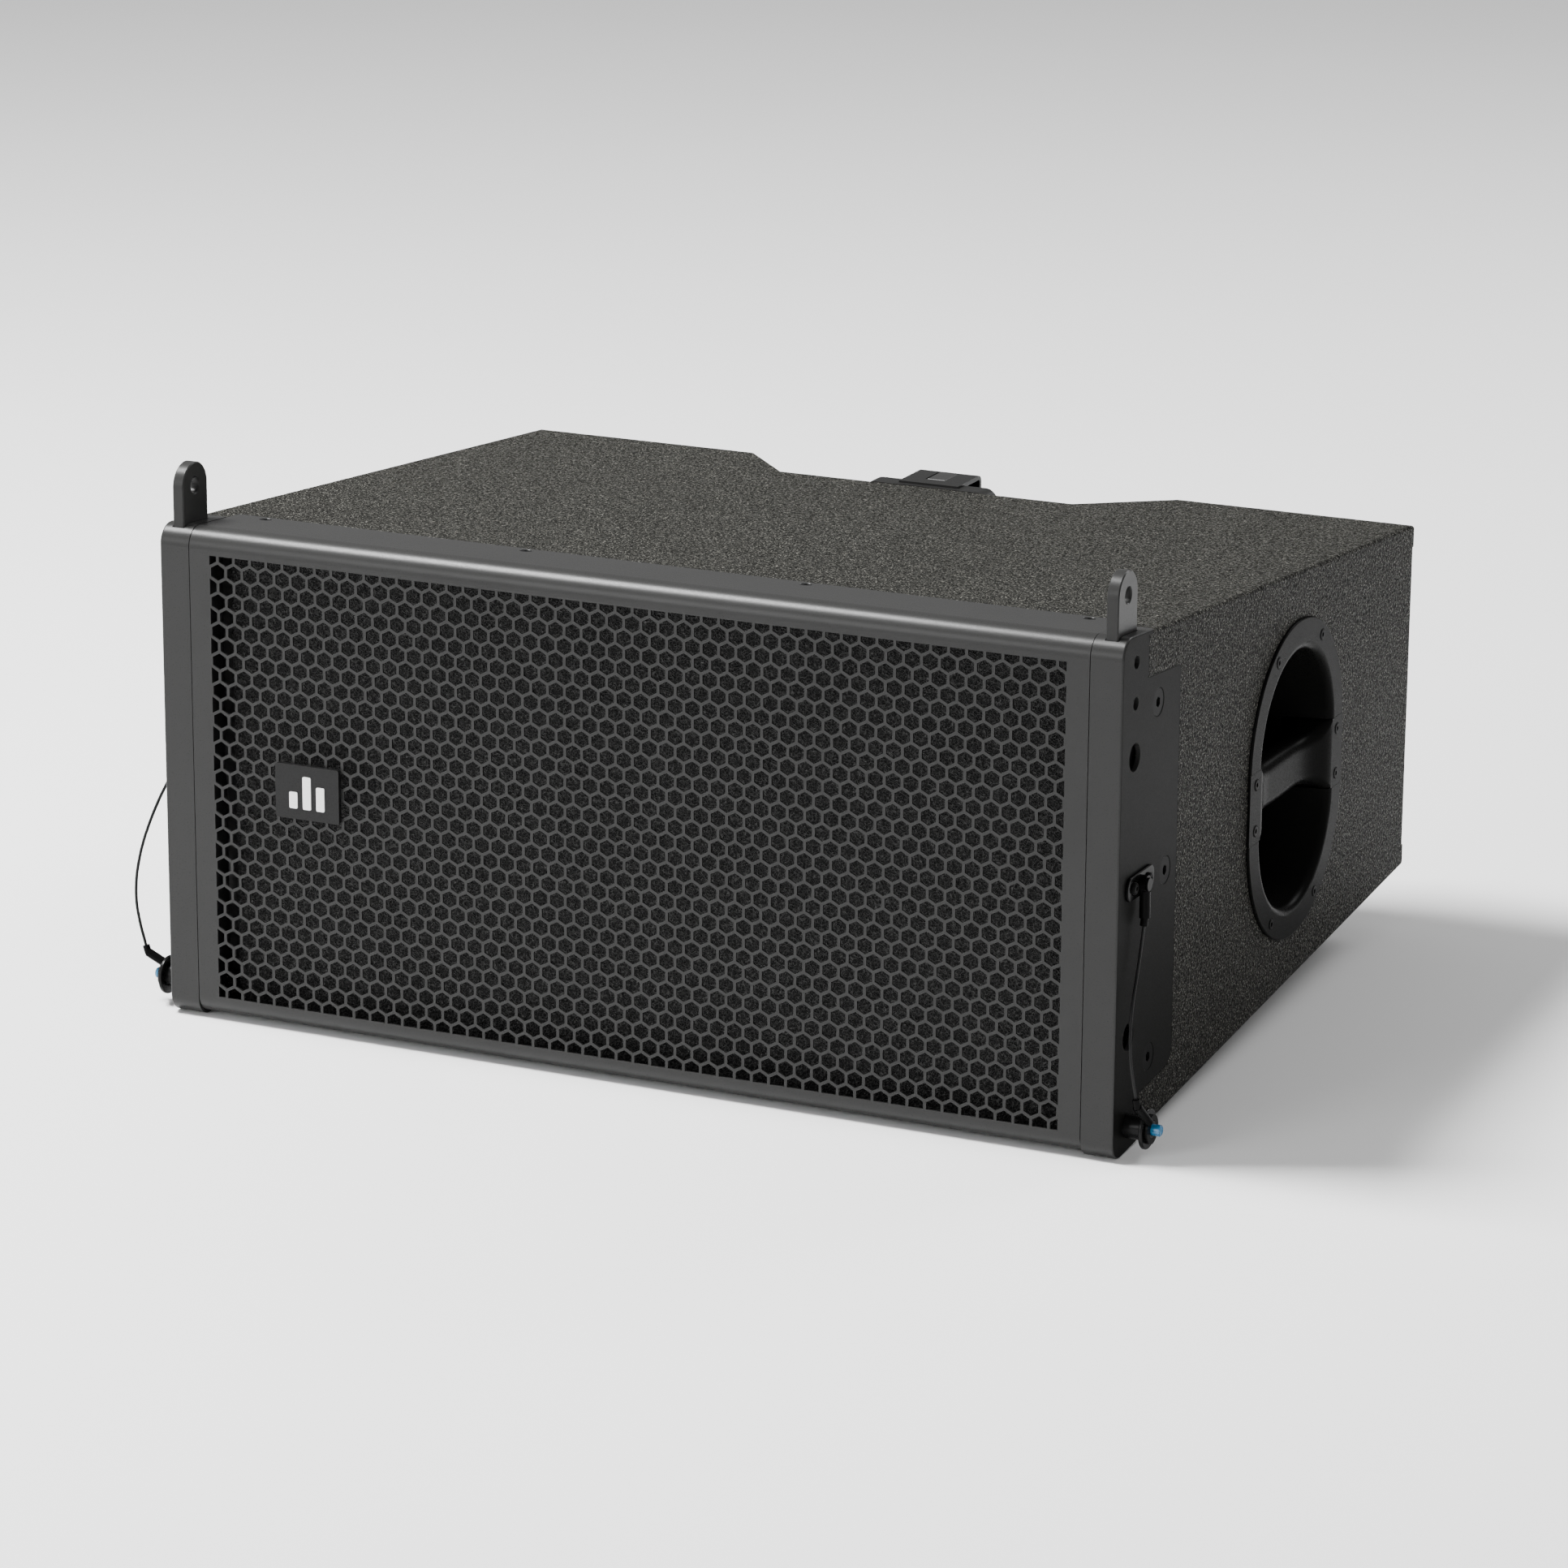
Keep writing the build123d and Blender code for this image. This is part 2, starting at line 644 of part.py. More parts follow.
# ---------------------------------------------------------------- lanyards
def lanyard_anchor():
    """Right pad eye: a small plate with two screw holes and a stud."""
    centre = (deep(ANCHOR_DEPTH), ANCHOR_Z)
    face = Pos(*centre) * RectangleRounded(44.0, 15.5, 6.5)
    plate = along_x(face, HALF_WIDTH + 0.02, HALF_WIDTH + 2.0)
    plate = fillet(plate.edges().group_by(Axis.X)[-1], 0.7)
    stud = bar_x(HALF_WIDTH + 1.9, HALF_WIDTH + 7.4, *centre, 3.0)
    cap = bar_x(HALF_WIDTH + 6.6, HALF_WIDTH + 7.8, *centre, 4.2)
    plate = plate + stud + cap
    for depth in ANCHOR_SCREW_DEPTHS:
        plate -= bar_x(300, 350, deep(depth), ANCHOR_Z, 2.3)
    return plate


def anchor_screws():
    """Button-head screws of both pad eyes."""
    right = []
    for depth in ANCHOR_SCREW_DEPTHS:
        screw = bar_x(HALF_WIDTH - 12, HALF_WIDTH + 3.8, deep(depth), ANCHOR_Z, 1.9)
        head = bar_x(HALF_WIDTH + 2.05, HALF_WIDTH + 4.0, deep(depth), ANCHOR_Z, 3.9)
        screw += fillet(head.edges().sort_by(Axis.X)[-1], 1.2)
        socket = Location((HALF_WIDTH + 2.6, deep(depth), ANCHOR_Z), (0, 90, 0))
        right.append(screw - socket * extrude(RegularPolygon(1.5, 6), amount=3))
    return solids_of(*right, *[mirrored(s) for s in right])


def cable_route(side):
    """Hand-chosen points of one lanyard cable, from its upper to its lower end."""
    return [Vector(x, deep(depth), z) for x, depth, z in CABLE_POINTS[side]]


def cable_radii(points):
    """For each corner, the largest arc that its two runs leave room for."""
    radii = []
    for before, here, after in zip(points, points[1:], points[2:]):
        turn = radians((here - before).get_angle(after - here))
        run = min((here - before).length, (after - here).length)
        radii.append(0.45 * run / tan(turn / 2))
    return radii


def lanyard_cable(side):
    """Sheathed wire rope: straight runs joined by tangent arcs."""
    points = cable_route(side)
    radii = cable_radii(points)
    path = FilletPolyline(*points, radius=radii)
    start = Plane(origin=points[0], z_dir=points[1] - points[0])
    cable = sweep(start * Circle(CABLE_RADIUS), path=path)
    expected = pi * CABLE_RADIUS ** 2 * path.length
    print(side, "cable radii", [round(r, 1) for r in radii], "length", round(path.length, 1),
          "volume ratio", round(cable.volume / expected, 4))
    return cable


def sleeve(point, direction, length, radius):
    """A crimped sleeve that starts at a point."""
    end = point + direction.normalized() * length
    return rod(tuple(point), tuple(end), radius)


def lanyard_top_end(side):
    """Crimped eye that hangs on the pad eye's stud and holds the cable's upper end."""
    points = cable_route(side)
    sign = 1 if side == "right" else -1
    back = points[0] - points[1]
    stud = Vector(sign * (HALF_WIDTH + 4.4), deep(ANCHOR_DEPTH), ANCHOR_Z)
    ring = bar_x(stud.X - 2.0, stud.X + 2.0, stud.Y, stud.Z, 5.6)
    neck = points[0] + back.normalized() * 5.0
    end = sleeve(points[0], back, 6.0, 2.5)
    end += rod(tuple(neck), tuple(stud), 3.5)
    end = end + ring - bar_x(stud.X - 9, stud.X + 9, stud.Y, stud.Z, 3.3)
    end -= bar_x(sign * (HALF_WIDTH + 6.3), sign * (HALF_WIDTH + 20), stud.Y, stud.Z, 4.6)
    return end - block(sign * 300, sign * (HALF_WIDTH + 2.3), deep(0), deep(80), 140, 200)


def lanyard_pin_end(side):
    """Ring on the pin's hub with the crimped sleeve of the cable's lower end."""
    points = cable_route(side)
    sign = 1 if side == "right" else -1
    hub = Vector(sign * (HALF_WIDTH + 16.9), deep(PIVOT_DEPTH), LOCK_PIVOT_Z)
    onward = points[-1] - points[-2]
    neck = points[-1] + onward.normalized() * 5.0
    across = Vector(0, neck.Y - hub.Y, neck.Z - hub.Z)
    edge = hub + across.normalized() * 8.0
    end = sleeve(points[-1], onward, 6.0, 2.4)
    end += rod(tuple(neck), tuple(edge), 3.0)
    end += bar_x(hub.X - 0.9, hub.X + 0.9, hub.Y, hub.Z, 9.4)
    end -= bar_x(hub.X - 20, hub.X + 20, hub.Y, hub.Z, 5.9)
    flange_face = sign * (HALF_WIDTH + 15.8)
    inner = sign * (HALF_WIDTH - 5)
    return end - block(inner, flange_face, hub.Y - 13.3, hub.Y + 13.3, hub.Z - 13.3, hub.Z + 13.3)


# ---------------------------------------------------------------- rear rigging
REAR_HALF_WIDTH = 48.0
REAR_TOP = 127.1
REAR_RIM = (471.0, 487.0)
STRAP_HALF_WIDTH = 22.5
STRAP_REAR = 518.0
STRAP_TOP = 128.6
ARM_SIZE = (14.4, 24.0, 122.0)
ARM_DEPTH = 501.0
REAR_PIN_Z = 168.0
REAR_BOLTS = [(x, MID_Z + z) for x in (-37.0, 37.0) for z in (-100.0, -34.0, 34.0, 100.0)]
CONNECTOR_PLATE = (56.0, 104.0, 122.0, 214.0)
CONNECTOR_Z = (145.0, 191.0)


def rear_bracket():
    """Rear rigging bracket: a dished plate with a strap that guides the rear link arm."""
    front_y, rear_y = deep(REAR_RIM[0]), deep(REAR_RIM[1])
    height = 2 * REAR_TOP
    face = Pos(0, MID_Z) * RectangleRounded(2 * REAR_HALF_WIDTH, height, 9.0)
    tray = along_y(face, front_y, rear_y)
    tray = fillet(tray.edges().group_by(Axis.Y)[0], 4.0)
    inner = Pos(0, MID_Z) * RectangleRounded(2 * (REAR_HALF_WIDTH - STEEL), height - 2 * STEEL, 6.0)
    tray -= along_y(inner, front_y + STEEL, rear_y + 1)
    strap = outline(
        (front_y + 5, MID_Z - STRAP_TOP), (deep(STRAP_REAR), MID_Z - STRAP_TOP),
        (deep(STRAP_REAR), MID_Z + STRAP_TOP), (front_y + 5, MID_Z + STRAP_TOP),
    )
    strap = rounded(strap, 5.0, lambda v: v.X > deep(STRAP_REAR) - 1)
    core = outline(
        (front_y, MID_Z - STRAP_TOP + STEEL), (deep(STRAP_REAR) - STEEL, MID_Z - STRAP_TOP + STEEL),
        (deep(STRAP_REAR) - STEEL, MID_Z + STRAP_TOP - STEEL), (front_y, MID_Z + STRAP_TOP - STEEL),
    )
    core = rounded(core, 2.0, lambda v: v.X > deep(STRAP_REAR) - 9)
    bracket = tray + along_x(strap, -STRAP_HALF_WIDTH, STRAP_HALF_WIDTH)
    bracket -= along_x(core, -STRAP_HALF_WIDTH - 1, STRAP_HALF_WIDTH + 1)
    bracket += along_y(face, front_y, front_y + STEEL)
    half_x = ARM_SIZE[0] / 2
    for side in (-1, 1):
        x0, x1 = side * (half_x + 0.6), side * (half_x + 0.6 + STEEL)
        bracket += block(x0, x1, front_y + 1, deep(STRAP_REAR) - 1, MID_Z - 95, MID_Z + 75)
    half_y = ARM_SIZE[1] / 2
    bracket -= block(-half_x - 0.5, half_x + 0.5, deep(ARM_DEPTH) - half_y - 0.5,
                     deep(ARM_DEPTH) + half_y + 0.5, 0, 400)
    bracket -= bar_x(-60, 60, deep(ARM_DEPTH), REAR_PIN_Z, 4.8)
    for z in (REAR_PIN_Z + 52.0, REAR_PIN_Z - 52.0):
        bracket -= bar_x(-STRAP_HALF_WIDTH, STRAP_HALF_WIDTH, deep(ARM_DEPTH), z, 4.8)
    for x, z in REAR_BOLTS:
        bracket -= bar_y(x, front_y - 1, front_y + 9, z, 4.3)
    return bracket


def rear_bracket_bolts():
    """Button-head bolts that hold the rear bracket to the recess."""
    bolts = []
    for x, z in REAR_BOLTS:
        bolt = bar_y(x, deep(REAR_RIM[0]) - 14, deep(REAR_RIM[0]) + 5, z, 4.0)
        head = bar_y(x, deep(REAR_RIM[0]) + STEEL + 0.1, deep(REAR_RIM[0]) + STEEL + 4, z, 7.0)
        bolt += fillet(head.edges().sort_by(Axis.Y)[-1], 2.0)
        socket = Pos(x, z) * RegularPolygon(2.6, 6)
        bolts.append(bolt - along_y(socket, deep(REAR_RIM[0]) + STEEL + 1.5, deep(REAR_RIM[0]) + 9))
    return solids_of(*bolts)


def rear_link_arm():
    """Rear link arm with its row of splay-angle holes; it slides up out of the strap."""
    top = MID_Z + STRAP_TOP
    width, depth, length = ARM_SIZE
    arm = block(-width / 2, width / 2, deep(ARM_DEPTH) - depth / 2, deep(ARM_DEPTH) + depth / 2,
                top - length, top)
    arm = chamfer(arm.edges().group_by(Axis.Z)[-1], 0.8)
    for index in range(5):
        offset = 4.5 if index % 2 else -4.5
        arm -= bar_x(-20, 20, deep(ARM_DEPTH) + offset, top - 15 - index * 11.0, 4.2)
    return arm


def rear_pin():
    """Lock pin parked under the rear link arm, which rests on it."""
    return lock_pin(11.6, deep(ARM_DEPTH), REAR_PIN_Z, 4.2, 6.6, 10.5, 26.0)


def rear_button():
    """Release button of the rear lock pin."""
    return lock_button(11.6, deep(ARM_DEPTH), REAR_PIN_Z, 26.0)


# ---------------------------------------------------------------- connectors
def connector_plate_screws():
    """Corner screws of the connector plate, as (x, z)."""
    x0, x1, z0, z1 = CONNECTOR_PLATE
    return [(x, z) for x in (x0 + 5, x1 - 5) for z in (z0 + 5, z1 - 5)]


def connector_plate():
    """Steel plate that carries the two speaker connectors."""
    x0, x1, z0, z1 = CONNECTOR_PLATE
    face = Pos((x0 + x1) / 2, (z0 + z1) / 2) * RectangleRounded(x1 - x0, z1 - z0, 4.0)
    plate = along_y(face, deep(DEPTH - RECESS_DEPTH) + 0.02, deep(DEPTH - RECESS_DEPTH) + 2.0)
    for z in CONNECTOR_Z:
        plate -= bar_y((x0 + x1) / 2, deep(460), deep(480), z, 12.4)
    for x, z in connector_plate_screws():
        plate -= bar_y(x, deep(460), deep(480), z, 1.8)
    return plate


def speaker_connectors():
    """Two round locking speaker sockets with square flanges."""
    x = (CONNECTOR_PLATE[0] + CONNECTOR_PLATE[1]) / 2
    face_y = deep(DEPTH - RECESS_DEPTH) + 2.04
    sockets = []
    for z in CONNECTOR_Z:
        flange = along_y(Pos(x, z) * RectangleRounded(27.0, 31.0, 3.0), face_y, face_y + 2.2)
        shell = bar_y(x, face_y - 20, face_y + 4.6, z, 12.0)
        socket = flange + shell - bar_y(x, face_y - 16, face_y + 6, z, 10.4)
        for angle in (45, 225):
            key = Location((x, 0, z), (0, angle, 0)) * block(-1.6, 1.6, face_y - 17, face_y + 1, 9.0, 11)
            socket += key
        sockets.append(socket)
    return solids_of(*sockets)


def connector_screws():
    """Corner screws of the connector plate."""
    face_y = deep(DEPTH - RECESS_DEPTH) + 2.04
    screws = []
    for x, z in connector_plate_screws():
        screw = bar_y(x, face_y - 14, face_y + 1.8, z, 1.6)
        head = bar_y(x, face_y, face_y + 2.0, z, 3.2)
        screw += fillet(head.edges().sort_by(Axis.Y)[-1], 1.0)
        cross = block(x - 1.8, x + 1.8, face_y + 1.0, face_y + 3, z - 0.4, z + 0.4)
        cross += block(x - 0.4, x + 0.4, face_y + 1.0, face_y + 3, z - 1.8, z + 1.8)
        screws.append(screw - cross)
    return solids_of(*screws)


# ---------------------------------------------------------------- handles
def handle_slot(size, margin=0.0):
    """Oblong of the handle in the side view, its long way upright."""
    long_way, short_way = size
    shape = SlotOverall(long_way + 2 * margin, short_way + 2 * margin, rotation=90)
    return Pos(deep(HANDLE_DEPTH), MID_Z) * shape


def handle_cup():
    """Right handle cup: oblong flange with a drafted pocket and a rounded lip."""
    flange = along_x(handle_slot(HANDLE_SIZE), HALF_WIDTH + 0.05, HALF_WIDTH + HANDLE_FLANGE)
    flange = fillet(flange.edges().group_by(Axis.X)[-1], 1.2)
    mouth = Plane.YZ.offset(HALF_WIDTH + HANDLE_FLANGE)
    pocket = extrude(mouth * handle_slot(HANDLE_MOUTH), amount=-HANDLE_CUP, taper=12)
    pocket = fillet(pocket.edges().group_by(Axis.X)[0], 14)
    body = extrude(mouth * handle_slot(HANDLE_MOUTH, 3.0), amount=-HANDLE_CUP - 3, taper=12)
    body = fillet(body.edges().group_by(Axis.X)[0], 16)
    cup = flange + body - pocket
    lip = [e for e in cup.edges() if is_lip(e)]
    cup = fillet(lip, 6.0)
    cup -= bar_space(GAP)
    return sunk_screw_holes(cup)


def sunk_screw_holes(shape):
    """Take the handle's screw holes and the shallow seats of their heads out of a flange."""
    for y, z in handle_screw_places():
        shape -= bar_x(300, 350, y, z, 2.4)
        shape -= bar_x(HALF_WIDTH + HANDLE_FLANGE - 1.0, 350, y, z, 4.1)
    return shape


def is_lip(edge):
    """True for the edges where the handle's pocket meets its flange face."""
    middle = edge @ 0.5
    from_centre = hypot(middle.Y - deep(HANDLE_DEPTH), middle.Z - MID_Z)
    return abs(middle.X - HALF_WIDTH - HANDLE_FLANGE) < 0.05 and from_centre < 90.0


def bar_space(clearance):
    """What the handle bar takes out of the cup's flange and upper walls."""
    centre = deep(HANDLE_DEPTH)
    half = HANDLE_BAND + clearance
    space = block(305, 345, centre - 95, centre + 95, MID_Z - half, MID_Z + half)
    return space - block(300, 350, centre - 50, centre + 50, 0, 400)


def handle_bar():
    """Right handle bar: a waisted grip whose flared ends fill the gaps in the cup's rim."""
    centre = deep(HANDLE_DEPTH)
    face_x = HALF_WIDTH + HANDLE_FLANGE
    sections = []
    for y, rear, front, half, radius in (
        (68.3, 312.0, face_x, 24.0, 1.5),
        (64.0, 312.0, face_x - 0.4, 23.4, 4.0),
        (56.0, 311.5, face_x - 3.2, 19.6, 7.0),
        (44.0, 311.0, face_x - 7.6, 17.0, 8.0),
        (20.0, 311.0, face_x - 9.6, 16.4, 8.0),
    ):
        sections.append((y, rear, front, half, radius))
        sections.append((-y, rear, front, half, radius))
    faces = []
    for y, rear, front, half, radius in sorted(sections):
        place = Plane(origin=((rear + front) / 2, centre + y, MID_Z), x_dir=(1, 0, 0), z_dir=(0, -1, 0))
        faces.append(place * RectangleRounded(front - rear, 2 * half, radius))
    bar = loft(faces)
    tabs = along_x(handle_slot(HANDLE_SIZE), HALF_WIDTH + 0.05, face_x)
    tabs &= block(300, 350, centre - 100, centre + 100, MID_Z - HANDLE_BAND, MID_Z + HANDLE_BAND)
    tabs -= block(300, 350, centre - 67, centre + 67, 0, 400)
    bar = bar & block(300, face_x, centre - 90, centre + 90, 0, 400)
    return sunk_screw_holes(bar + tabs)


def handle_screw_places():
    """Handle screws, as (y, z)."""
    centre = deep(HANDLE_DEPTH)
    return [(centre + sy * y, MID_Z + sz * z)
            for y, z in HANDLE_SCREWS for sy in (-1, 1) for sz in (-1, 1)]


def handle_screws():
    """Domed socket screws of both handles."""
    face_x = HALF_WIDTH + HANDLE_FLANGE
    right = []
    for y, z in handle_screw_places():
        screw = bar_x(face_x - 20, face_x, y, z, 2.0)
        head = bar_x(face_x - 0.95, face_x + 0.5, y, z, 3.8)
        screw += fillet(head.edges().sort_by(Axis.X)[-1], 0.9)
        socket = Location((face_x - 0.4, y, z), (0, 90, 0)) * extrude(RegularPolygon(1.7, 6), amount=3)
        right.append(screw - socket)
    return solids_of(*right, *[mirrored(s) for s in right])


# ---------------------------------------------------------------- drivers
def woofer_bolt_circle(x):
    """Mounting holes of one woofer, as (x, z)."""
    radius = WOOFER_RADIUS - 6.5
    angles = [radians(22.5 + 45 * k) for k in range(8)]
    return [(x + radius * cos(a), MID_Z + radius * sin(a)) for a in angles]


def woofer_basket():
    """Right woofer frame: rim, eight arms and the magnet seat."""
    face = deep(BAFFLE_DEPTH - 6.5)
    rim = WOOFER_RADIUS
    shell = turned([
        (rim, face), (rim, face + 6.4), (rim - 14, face + 6.4), (62, face + 70), (62, face + 76),
        (36, face + 76), (36, face + 72), (58, face + 72), (rim - 22, face + 3),
        (rim - 22, face),
    ], WOOFER_X, MID_Z)
    for k in range(8):
        window = block(-17, 17, face + 14, face + 54, 50, 140)
        shell -= Location((WOOFER_X, 0, MID_Z), (0, 45 * k, 0)) * window
    for x, z in woofer_bolt_circle(WOOFER_X):
        shell -= bar_y(x, face - 5, face + 10, z, 2.8)
    return shell


def woofer_magnet():
    """Right woofer motor: top plate, ring magnet and vented pole piece."""
    face = deep(BAFFLE_DEPTH - 6.5) + 76.1
    ring = turned([(75, face + 6), (75, face + 26), (30, face + 26), (30, face + 6)])
    plate = turned([(66, face), (66, face + 6), (27.5, face + 6), (27.5, face)])
    back = turned([(70, face + 26), (70, face + 33), (12, face + 33), (12, face - 6), (24, face - 6),
                   (24, face + 26)])
    return solids_of(*[Location((WOOFER_X, 0, MID_Z)) * s for s in (ring, plate, back)])


def woofer_cone():
    """Right woofer cone with its dust cap and voice-coil former."""
    face = deep(BAFFLE_DEPTH - 6.5)
    cone = turned([(92, face + 3), (92, face + 4), (27.0, face + 46), (27.0, face + 94),
                   (26.0, face + 94), (26.0, face + 45), (89, face + 3)])
    cap = turned([(38, face + 38.6), (26.2, face + 44.2), (26.2, face + 34), (0, face + 29),
                  (0, face + 27.8), (26.2, face + 33)])
    return Location((WOOFER_X, 0, MID_Z)) * (cone + cap)


def woofer_suspension():
    """Right woofer surround roll and corrugated spider."""
    face = deep(BAFFLE_DEPTH - 6.5)
    roll = Circle(7.0) - Circle(6.2)
    roll &= Pos(0, -10) * Rectangle(20, 20)
    roll = Pos(99.0, face + 3.0) * roll
    roll += outline((105.2, face + 3.0), (105.2, face + 2.2), (107, face + 2.2), (107, face + 3.0))
    surround = revolve(roll, Axis.Y)
    waves = 6
    step = (SPIDER_RADIUS - 27.05) / waves
    upper = []
    for k in range(2 * waves + 1):
        upper.append((27.05 + k * step / 2, face + 60 + (1.5 if k % 2 else 0.0)))
    lower = [(r, y + 0.5) for r, y in reversed(upper)]
    spider = turned(upper + lower)
    return solids_of(*[Location((WOOFER_X, 0, MID_Z)) * s for s in (surround, spider)])


def woofer_screws():
    """Cap-head screws around both woofers."""
    face = deep(BAFFLE_DEPTH - 6.5)
    right = []
    for x, z in woofer_bolt_circle(WOOFER_X):
        screw = bar_y(x, face - 4.0, face - 0.05, z, 4.2) + bar_y(x, face - 1, face + 22, z, 2.5)
        right.append(screw - along_y(Pos(x, z) * RegularPolygon(2.2, 6), face - 5, face - 2))
    return solids_of(*right, *[mirrored(s) for s in right])


def rectangle_at(width, height, y):
    """A rectangle across the sound path."""
    place = Plane(origin=(0, y, MID_Z), x_dir=(1, 0, 0), z_dir=(0, -1, 0))
    return place * Rectangle(width, height)


def hf_waveguide():
    """High-frequency waveguide: a tall narrow mouth that closes to a square throat."""
    mouth_y = deep(BAFFLE_DEPTH - 4)
    throat_y = deep(176)
    outer = loft([rectangle_at(84, 258, mouth_y + 2), rectangle_at(46, 60, throat_y)])
    inner = loft([rectangle_at(78, 252, mouth_y - 1), rectangle_at(30, 44, throat_y + 1)])
    flange = along_y(Pos(0, MID_Z) * RectangleRounded(106, 276, 4), mouth_y, mouth_y + 3.9)
    plate = along_y(Pos(0, MID_Z) * Rectangle(96, 96), throat_y - 8, throat_y)
    guide = outer + flange + plate - inner
    for x, z in hf_bolts():
        guide -= bar_y(x, throat_y - 20, throat_y + 5, z, 3.2)
    return guide


def hf_bolts():
    """Studs of the compression driver, as (x, z)."""
    return [(36 * cos(radians(a)), MID_Z + 36 * sin(radians(a))) for a in (45, 135, 225, 315)]


def compression_driver():
    """Compression driver with its mounting studs, behind the waveguide."""
    face = deep(176) + 0.1
    driver = turned([(46, face), (46, face + 8), (62, face + 12), (62, face + 44), (54, face + 50),
                     (0, face + 50), (0, face + 6), (18, face + 6), (18, face)], 0, MID_Z)
    for x, z in hf_bolts():
        driver += bar_y(x, face - 14, face + 2, z, 3.0)
    return driver


# ---------------------------------------------------------------- crossover
def board_base():
    """Top surface of the bottom panel under the board's middle."""
    return falling(PLY - HALF_HEIGHT, 400)


def crossover_board():
    """Passive crossover board on four spacers, on the bottom panel."""
    z = board_base() + 14
    board = block(-90, 90, deep(330), deep(440), z, z + 1.6)
    for x in (-82, 82):
        for depth in (338, 432):
            board += rod((x, deep(depth), falling(PLY - HALF_HEIGHT, depth) + 0.6),
                         (x, deep(depth), z + 0.5), 4.0)
    return board


def crossover_parts():
    """Two air-core coils, a cored coil, four capacitors and a resistor."""
    z = board_base() + 15.62
    parts = []
    for x, depth, radius, height in ((-58, 362, 24, 22), (2, 362, 20, 18), (58, 366, 22, 26)):
        coil = Cylinder(radius, height) - Cylinder(radius * 0.45, height + 2)
        parts.append(Location((x, deep(depth), z + height / 2)) * coil)
    for x in (-66, -36, -6, 24):
        parts.append(rod((x, deep(396), z + 9.05), (x, deep(428), z + 9.05), 9.0))
    parts.append(block(46, 76, deep(404), deep(416), z, z + 10))
    return solids_of(*parts)


# ---------------------------------------------------------------- nodes
def both(name, shape):
    """A right-hand piece and its mirror image, as two nodes."""
    return {name + "_right": shape, name + "_left": mirrored(shape)}


def nodes():
    """Every node of the element by name."""
    top = top_panel()
    pieces = {
        "cabinet_top": top,
        "cabinet_bottom": upside_down(top),
        "recess_back": recess_back(),
        "front_baffle": front_baffle(),
        "cabinet_brace": cabinet_brace(),
        "grille_frame": grille_frame(),
        "grille_mesh": grille_mesh(),
        "grille_screws": grille_screws(),
        "grille_foam": grille_foam(),
        "badge_plate": badge_plate(),
        "badge_emblem": badge_emblem(),
        "rigging_bolts": rigging_bolts(),
        "link_friction_screws": link_friction_screws(),
        "lanyard_anchor_screws": anchor_screws(),
        "lanyard_top_ends": solids_of(lanyard_top_end("left"), lanyard_top_end("right")),
        "rear_bracket": rear_bracket(),
        "rear_bracket_bolts": rear_bracket_bolts(),
        "rear_link_arm": rear_link_arm(),
        "rear_lock_pin": rear_pin(),
        "rear_lock_button": rear_button(),
        "connector_plate": connector_plate(),
        "speaker_connectors": speaker_connectors(),
        "connector_screws": connector_screws(),
        "handle_screws": handle_screws(),
        "woofer_magnets": solids_of(woofer_magnet(), mirrored(woofer_magnet())),
        "woofer_screws": woofer_screws(),
        "hf_waveguide": hf_waveguide(),
        "compression_driver": compression_driver(),
        "crossover_board": crossover_board(),
        "crossover_parts": crossover_parts(),
    }
    pieces |= both("cabinet_side", side_panel())
    pieces |= both("back_panel", back_panel())
    pieces |= both("recess_cheek", recess_cheek())
    pieces |= both("rigging_frame", rigging_frame())
    pieces |= both("link_bar", link_bar())
    pieces |= both("lock_pin", front_pin())
    pieces |= both("lock_button", front_button())
    pieces |= both("lanyard_anchor", lanyard_anchor())
    pieces |= both("handle_cup", handle_cup())
    pieces |= both("handle_bar", handle_bar())
    pieces |= both("woofer_basket", woofer_basket())
    pieces |= both("woofer_cone", woofer_cone())
    pieces |= both("woofer_suspension", woofer_suspension())
    for side in ("left", "right"):
        pieces["lanyard_cable_" + side] = lanyard_cable(side)
        pieces["lanyard_pin_end_" + side] = lanyard_pin_end(side)
    return pieces


os.makedirs("parts", exist_ok=True)
for node, piece in nodes().items():
    export_step(piece, "parts/" + node + ".step", write_pcurves=node != "grille_mesh")
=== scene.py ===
"""Looks of the line array speaker element, in the frame of its CAD model. Lengths are metres."""

import json
from math import cos, radians, sin

import bmesh
import bpy
from mathutils import Matrix, Vector


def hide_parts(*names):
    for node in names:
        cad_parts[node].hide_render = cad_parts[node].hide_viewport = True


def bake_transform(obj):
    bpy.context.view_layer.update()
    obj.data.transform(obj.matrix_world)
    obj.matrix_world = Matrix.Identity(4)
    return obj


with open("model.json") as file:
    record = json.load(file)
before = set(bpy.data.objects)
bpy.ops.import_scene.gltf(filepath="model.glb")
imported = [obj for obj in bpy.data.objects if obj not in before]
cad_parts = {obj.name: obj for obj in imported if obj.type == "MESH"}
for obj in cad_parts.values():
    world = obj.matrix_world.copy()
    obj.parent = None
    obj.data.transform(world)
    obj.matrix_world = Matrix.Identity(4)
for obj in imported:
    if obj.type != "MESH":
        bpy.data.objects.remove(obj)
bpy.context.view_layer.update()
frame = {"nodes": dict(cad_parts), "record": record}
nodes = frame["nodes"]

FRONT = -0.2665
MID_Z = 0.1682


def deep(depth):
    """The y of a depth in millimetres counted from the front face."""
    return FRONT + depth / 1000


